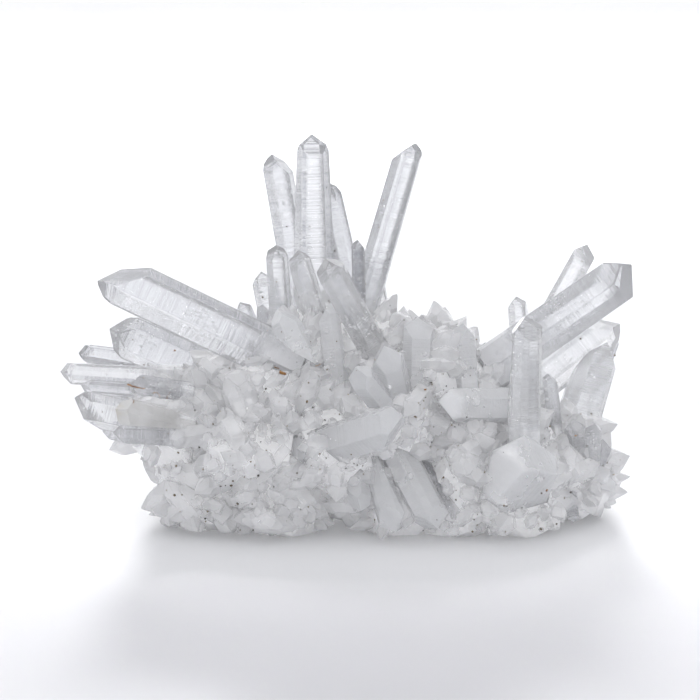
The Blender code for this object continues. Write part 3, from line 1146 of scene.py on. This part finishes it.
@dataclass
class Veils:
    """Healed cracks inside the crystals: thin flakes along a few planes, thickest near the root."""

    flakes_per_mm: float = 2.4
    flake: tuple[float, float] = (0.12 * MM, 0.55 * MM)
    thin: float = 0.04 * MM
    spread: float = 3 * MM
    waver: float = 0.25 * MM
    clear_of_skin: float = 0.22 * MM
    long_enough: float = 13 * MM

    def fill(self, crystal: bpy.types.Object, veils: bmesh.types.BMesh) -> None:
        """Adds one crystal's flakes.

        Args:
            crystal: the finished crystal.
            veils: the shape to add them to.
        """
        rng = random.Random("veil " + crystal.name)
        root, tip = ends_of(crystal)
        axis = tip - root
        if axis.length < self.long_enough:
            return
        skin = skin_of(crystal.data)
        planes = []
        for _ in range(rng.randint(2, 4)):
            tilt = scattered(rng, 1).normalized()
            planes.append((root + axis * rng.uniform(0.1, 0.8), tilt))
        for _ in range(int(self.flakes_per_mm * axis.length / MM)):
            middle, tilt = rng.choice(planes)
            aside = scattered(rng, self.spread)
            spot = middle + aside - tilt * aside.dot(tilt) + tilt * rng.gauss(0, self.waver)
            near, out, _, away = skin.find_nearest(spot)
            if (spot - near).dot(out) > 0 or away < self.clear_of_skin:
                continue
            wide = min(rng.uniform(*self.flake), away)
            turn = (tilt + scattered(rng, 0.25)).normalized().to_track_quat("Z", "Y").to_matrix().to_4x4()
            segments, narrow = rng.randint(4, 6), wide * rng.uniform(0.6, 0.95)
            place = Matrix.Translation(spot) @ turn @ Matrix.Diagonal((1, rng.uniform(0.4, 1), 1, 1))
            bmesh.ops.create_cone(
                veils, cap_ends=True, segments=segments, radius1=wide, radius2=narrow, depth=self.thin,
                matrix=place,
            )

    def build(
        self, crystals: list[bpy.types.Object], material: bpy.types.Material, slot: str
    ) -> bpy.types.Object:
        """Builds the veils of all crystals as one piece.

        Args:
            crystals: the finished crystals.
            material: the flakes' material.
            slot: the slot of the crystals that they lie in.

        Returns:
            The piece.
        """
        veils = bmesh.new()
        for crystal in crystals:
            self.fill(crystal, veils)
        bmesh.ops.recalc_face_normals(veils, faces=veils.faces)
        return show(as_object("inner_veils_" + slot, veils), material, slot)


@dataclass
class MilkyRoots:
    """The clouded roots inside the crystals, which fade out towards their clear tips."""

    reach: float = 0.5
    narrower: float = 0.84
    off_the_end: float = 0.5 * MM
    long_enough: float = 12 * MM

    def build(self, names: list[str], material: bpy.types.Material) -> bpy.types.Object:
        """Builds the roots of all crystals as one piece.

        Args:
            names: the crystals' nodes.
            material: the fading milky material.

        Returns:
            The piece.
        """
        roots = bmesh.new()
        roots.verts.layers.float.new("rise")
        for name in names:
            whole = merged_solid(name)
            axis = axis_of(whole)
            low, high = span_of(whole, axis)
            if high - low < self.long_enough:
                whole.free()
                continue
            top = axis * (low + (high - low) * self.reach)
            bmesh.ops.bisect_plane(
                whole, geom=parts_of(whole), plane_co=top, plane_no=axis, clear_outer=True, dist=ON_PLANE
            )
            bmesh.ops.edgeloop_fill(whole, edges=[edge for edge in whole.edges if edge.is_boundary])
            middle = middle_of(whole)
            marks = whole.verts.layers.float.new("rise")
            for vert in whole.verts:
                aside = across(vert.co - middle, axis)
                vert[marks] = (vert.co.dot(axis) - low) / (high - low)
                vert.co -= aside * (1 - self.narrower)
                vert.co += axis * (self.off_the_end if vert[marks] < 0.1 else 0.0)
            pour(as_mesh("milky_root", whole), roots)
        bmesh.ops.recalc_face_normals(roots, faces=roots.faces)
        return show(as_object("milky_roots", roots), material, Clarity.MILKY.value)


class Fibre(NamedTuple):
    """A brown fibre on the front: place, length, thickness and bend in millimetres, turn in degrees."""

    across: float
    height: float
    length: float
    thickness: float
    turn: float
    bend: float


FIBRES = (
    Fibre(-53.5, 37.2, 4.6, 0.42, -14, 0.2),
    Fibre(-16.9, 40.1, 1.8, 0.9, -18, 0.1),
    Fibre(-44.9, 33.6, 3.4, 0.3, -70, 1.2),
    Fibre(-48.6, 35.0, 2.2, 0.2, -30, -0.6),
    Fibre(-18.6, 40.6, 1.4, 0.28, -20, 0.1),
    Fibre(-52.8, 33.9, 2.8, 0.25, -62, 0.8),
    Fibre(-42.0, 44.4, 0.5, 0.4, 0, 0),
    Fibre(-45.3, 42.6, 0.5, 0.45, 0, 0),
    Fibre(18.8, 36.7, 0.6, 0.55, 10, 0),
    Fibre(-8.0, 41.5, 1.6, 0.16, 25, 0.1),
    Fibre(57.7, 22.5, 0.5, 0.4, 0, 0),
    Fibre(49.0, 12.5, 0.6, 0.5, 60, 0),
)


@dataclass
class Grains:
    """Dark mineral grains scattered over the quartz, and a few fibres stained by iron."""

    on_matrix: int = 9000
    on_crystals: int = 300
    size: tuple[float, float] = (0.12 * MM, 0.40 * MM)
    open_above: float = 4 * MM
    lift: float = 0.12 * MM
    lowest: float = 1 * MM
    fibre_sides: int = 8
    fibre_cuts: int = 6
    kink: float = 0.12
    kinks: float = 23.0
    sunk: float = 0.3
    seed: int = 11

    def scatter(
        self, where: list[bpy.types.Mesh], count: int, rng: random.Random, skin: BVHTree,
        grains: bmesh.types.BMesh,
    ) -> None:
        """Adds grains on some meshes, where nothing lies over them.

        Args:
            where: the meshes that they lie on.
            count: how many places to try in all.
            rng: where the chance comes from.
            skin: all that can lie over them.
            grains: the shape to add them to.
        """
        bm = bmesh.new()
        bmesh.ops.create_icosphere(bm, subdivisions=1, radius=1.0)
        ball = as_mesh("grain", bm)
        for mesh in where:
            for spot, normal in SurfacePlaces(mesh).pick(rng, count // len(where)):
                over = skin.ray_cast(spot + normal * self.lift, normal, self.open_above)[0]
                if over is not None or spot.z < self.lowest:
                    continue
                size = rng.uniform(*self.size) * rng.uniform(0.5, 1.0)
                wide, deep = size * rng.uniform(0.5, 1.0), size * rng.uniform(0.5, 1.6)
                stretch = Matrix.Diagonal((size, wide, deep, 1))
                turn = Euler([rng.uniform(0, FULL_TURN) for _ in range(3)]).to_matrix().to_4x4()
                laid = ball.copy()
                laid.transform(Matrix.Translation(spot + normal * size * self.sunk) @ turn @ stretch)
                pour(laid, grains)
        bpy.data.meshes.remove(ball)

    def lay_fibre(self, fibre: Fibre, skin: BVHTree, fibres: bmesh.types.BMesh) -> None:
        """Lays one fibre on the front of the cluster.

        Args:
            fibre: what it is like.
            skin: all that it can lie on.
            fibres: the shape to add it to.
        """
        start = Vector((fibre.across, -100.0, fibre.height)) * MM
        spot, _, _, _ = skin.ray_cast(start, Vector((0, 1, 0)))
        if spot is None:
            return
        length, thickness = fibre.length * MM, fibre.thickness * MM
        bm = bmesh.new()
        bmesh.ops.create_cone(
            bm, cap_ends=True, segments=self.fibre_sides, radius1=thickness / 2, radius2=thickness / 3,
            depth=length,
        )
        sides = [edge for edge in bm.edges if edge.calc_length() > length * 0.9]
        bmesh.ops.subdivide_edges(bm, edges=sides, cuts=self.fibre_cuts)
        for vert in bm.verts:
            share = vert.co.z / length
            vert.co.x += fibre.bend * MM * (1 - 4 * share * share)
            vert.co.x += self.kink * thickness * math.sin(share * self.kinks)
        turn = Matrix.Rotation(math.radians(90 - fibre.turn), 4, "Y")
        place = Matrix.Translation(spot - Vector((0, thickness * self.sunk, 0))) @ turn
        bmesh.ops.transform(bm, matrix=place, verts=bm.verts)
        pour(as_mesh("fibre", bm), fibres)

    def build(
        self, crystals: list[bpy.types.Object], matrix: list[bpy.types.Object], dark: bpy.types.Material,
        rust: bpy.types.Material,
    ) -> list[bpy.types.Object]:
        """Builds the grains and the fibres.

        Args:
            crystals: the finished crystals.
            matrix: the matrix's finished pieces.
            dark: the grains' material.
            rust: the fibres' material.

        Returns:
            The two pieces.
        """
        rng = random.Random(self.seed)
        skin = skin_of(*(piece.data for piece in [*matrix, *crystals]))
        grains = bmesh.new()
        self.scatter([piece.data for piece in matrix], self.on_matrix, rng, skin, grains)
        self.scatter([packed_mesh(piece) for piece in crystals], self.on_crystals, rng, skin, grains)
        fibres = bmesh.new()
        for fibre in FIBRES:
            self.lay_fibre(fibre, skin, fibres)
        pieces = [as_object("mineral_grains", grains), as_object("iron_fibres", fibres)]
        show(pieces[0], dark, Clarity.ROCK.value)
        show(pieces[1], rust, Clarity.STAINED.value)
        return pieces


# ---------------------------------------------------------------- studio


@dataclass
class Studio:
    """A white sweep, soft light from above and behind, and the camera."""

    elevation: float = 12.0
    distance: float = 0.505
    target: Vector = field(default_factory=lambda: Vector((0, 0, 0.0423)))
    lens: float = 100.0
    lamp_target: Vector = field(default_factory=lambda: Vector((0, 0, 0.03)))
    high_window: tuple[float, float, float] = (-0.36, 2.15, 2.05)
    high_size: tuple[float, float] = (0.4, 0.3)
    high_power: float = 18.0
    low_window: tuple[float, float, float] = (-0.15, 2.9, 1.02)
    low_size: tuple[float, float] = (0.55, 0.24)
    low_power: float = 145.0
    scattered_light: tuple[float, float, float] = (0.004, -0.006, 0.055)
    scattered_size: tuple[float, float] = (0.15, 0.08)
    scattered_power: float = 0.068
    glints: tuple[tuple[float, float, float], ...] = (
        (-0.9, -1.2, 1.3), (0.7, -1.3, 1.0), (-1.4, -0.4, 0.8), (1.3, -0.2, 1.2), (0.1, -0.9, 1.7),
        (-0.4, 2.1, 1.9),
    )
    glint_size: tuple[float, float] = (0.1, 0.1)
    glint_power: float = 0.5
    floor_size: float = 4.0
    floor_white: Colour = (0.565, 0.568, 0.584)
    floor_glow: float = 0.4
    glow_from: float = 0.25
    glow_to: float = 0.9
    ceiling: float = 0.88
    room: tuple[tuple[float, float], ...] = (
        (0.0, 0.79), (0.3, 0.76), (0.44, 0.62), (0.52, 0.28), (0.70, 0.45), (0.80, 0.88), (0.88, 1.1),
        (1.0, 1.15),
    )

    def floor(self) -> bpy.types.Object:
        """Lays a wide pale floor that brightens to plain white in the distance.

        Returns:
            The floor.
        """
        bm = bmesh.new()
        bmesh.ops.create_grid(bm, x_segments=1, y_segments=1, size=self.floor_size)
        sweep = as_object("studio_floor", bm)
        surface = Surface("studio_white")
        away = surface.add("VectorMath", {0: surface.spot}, operation="LENGTH").outputs["Value"]
        glow = surface.ramp(away, self.glow_from, self.glow_to, 0.0, self.floor_glow)
        glow = surface.math("MULTIPLY", glow, surface.add("LightPath").outputs["Is Camera Ray"])
        surface.dress(
            Base_Color=self.floor_white, Roughness=0.8, Specular_IOR_Level=0.1, Subsurface_Weight=0.7,
            Subsurface_Radius=(1.0, 1.0, 1.0), Subsurface_Scale=12 * MM, Emission_Color=(1.0, 1.0, 1.0),
            Emission_Strength=glow,
        )
        sweep.data.materials.append(surface.made)
        return sweep

    def lamp(
        self, name: str, spot: tuple[float, float, float], size: tuple[float, float], power: float
    ) -> bpy.types.Object:
        """Hangs a soft rectangular light that faces the cluster.

        Args:
            name: the light's name.
            spot: where it hangs.
            size: its width and height.
            power: its power in watts.

        Returns:
            The light's object.
        """
        light = bpy.data.lights.new(name, "AREA")
        light.shape = "RECTANGLE"
        light.size, light.size_y = size
        light.energy = power
        place = bpy.data.objects.new(name, light)
        place.location = spot
        place.rotation_euler = (self.lamp_target - Vector(spot)).to_track_quat("-Z", "Y").to_euler()
        bpy.context.scene.collection.objects.link(place)
        return place

    def lights(self, floor: bpy.types.Object) -> None:
        """Hangs a window behind and above the cluster, small lights for glints, and two for the floor alone.

        Those two are the low window that draws the long shadow, and the light that quartz scatters down.

        Args:
            floor: the floor.
        """
        high = self.lamp("high_window", self.high_window, self.high_size, self.high_power)
        high.visible_glossy = False
        low = self.lamp("low_window", self.low_window, self.low_size, self.low_power)
        under = self.lamp("scattered_light", self.scattered_light, self.scattered_size, self.scattered_power)
        under.rotation_euler = Euler()
        under.data.use_shadow = False
        for number, spot in enumerate(self.glints):
            glint = self.lamp(f"glint_{number}", spot, self.glint_size, self.glint_power)
            glint.visible_diffuse = False
            glint.visible_camera = False
            glint.visible_transmission = False
        lit = bpy.data.collections.new("floor_only")
        lit.objects.link(floor)
        for place in (low, under):
            place.light_linking.receiver_collection = lit
            place.visible_camera = False
            place.visible_glossy = False
            place.visible_transmission = False

    def sky(self) -> None:
        """Makes a room that is bright behind, paler above and dim at the sides and in front."""
        world = bpy.data.worlds.new("studio")
        bpy.context.scene.world = world
        world.use_nodes = True
        nodes = NodeTree(world.node_tree)
        way = nodes.add("SeparateXYZ", {0: nodes.add("TexCoord").outputs["Generated"]}).outputs
        ramp = nodes.add("ValToRGB", {0: nodes.math("MULTIPLY_ADD", way["Y"], 0.5, 0.5)})
        stops = ramp.color_ramp.elements
        ramp.color_ramp.interpolation = "EASE"
        while len(stops) < len(self.room):
            stops.new(0.5)
        for stop, (place, value) in zip(stops, self.room):
            stop.position = place
            stop.color = (*(COOL_WHITE * value), 1.0)
        above = nodes.ramp(way["Z"], 0.35, 0.9)
        room = nodes.mix(above, ramp.outputs[0], tuple(COOL_WHITE * self.ceiling))
        seen = nodes.mix(nodes.add("LightPath").outputs["Is Camera Ray"], room, (1.0, 1.0, 1.0))
        nodes.feed(world.node_tree.nodes["Background"].inputs["Color"], seen)

    def camera(self) -> None:
        """Places the camera, at the viewing angle of a small thing on a table."""
        lens = bpy.data.cameras.new("camera")
        lens.lens = self.lens
        lens.sensor_width = 36
        lens.clip_start = 0.01
        seat = bpy.data.objects.new("camera", lens)
        tilt = math.radians(self.elevation)
        seat.location = self.target + Vector((0, -math.cos(tilt), math.sin(tilt))) * self.distance
        seat.rotation_euler = Euler((math.radians(90) - tilt, 0, 0))
        bpy.context.scene.collection.objects.link(seat)
        bpy.context.scene.camera = seat

    def build(self) -> None:
        """Sets up the whole studio."""
        self.lights(self.floor())
        self.sky()
        self.camera()
        scene = bpy.context.scene
        scene.view_settings.view_transform = "Standard"
        scene.cycles.use_denoising = True
        scene.cycles.max_bounces = 40
        scene.cycles.transmission_bounces = 32
        scene.cycles.transparent_max_bounces = 64
        scene.cycles.diffuse_bounces = 14
        scene.cycles.glossy_bounces = 8
        scene.cycles.sample_clamp_indirect = 6.0


# ---------------------------------------------------------------- all of it


def root_of(crystal: bpy.types.Object) -> Vector:
    """The middle of a crystal's root face.

    Args:
        crystal: the finished crystal.

    Returns:
        The point.
    """
    rises = [item.value for item in crystal.data.attributes["rise"].data]
    low = [vert.co for vert, rise in zip(crystal.data.vertices, rises) if rise < ROOT_BELOW]
    return sum(low, Vector()) / len(low)


def all_named(names: list[str]) -> bpy.types.Mesh:
    """The named crystals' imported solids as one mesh, to be removed after use.

    Args:
        names: the crystals' nodes.

    Returns:
        The mesh.
    """
    bm = bmesh.new()
    for name in names:
        bm.from_mesh(frame["nodes"][name].data)
    return as_mesh("all_named", bm)


def main() -> None:
    """Builds the cluster in order: crystals, matrix, what lies in and on them, studio."""
    logging.basicConfig(level=logging.INFO, format="%(name)s %(message)s")
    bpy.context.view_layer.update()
    effects = Effects()
    slots = {part["node"]: part["material_slot"] for part in frame["record"]["subparts"]}
    names = sorted(name for name in frame["nodes"] if name != "matrix")
    usual = {finish.slot.value: finish for finish in SLOT_FINISHES}
    special = {name: finish for finish, chosen in SPECIAL_FINISHES.items() for name in chosen}
    materials = {finish: finish.material(effects) for finish in (*SLOT_FINISHES, *SPECIAL_FINISHES)}
    crystals = []
    by_slot = {slot: [] for slot in usual}
    for name in names:
        slot = slots[name]
        crystals.append(CrystalPiece(name, slot).build(materials[special.get(name, usual[slot])]))
        by_slot[slot].append(crystals[-1])
    named = all_named(names)
    matrix = MatrixRock().build(
        ROCK.material(effects), SUGAR.material(effects), named, by_slot[Clarity.MILKY.value],
        [root_of(piece) for piece in crystals],
    )
    bpy.data.meshes.remove(named)
    veil = VEIL.material()
    for slot, inside in by_slot.items():
        Veils().build(inside, veil, slot)
    clouded = [name for name in names if not name.startswith("crown")]
    MilkyRoots().build(clouded, MILK_ROOT.material(effects))
    Grains().build(crystals, matrix, MINERAL.material(), IRON.material())
    Studio().build()


if __name__ == "__main__":
    main()
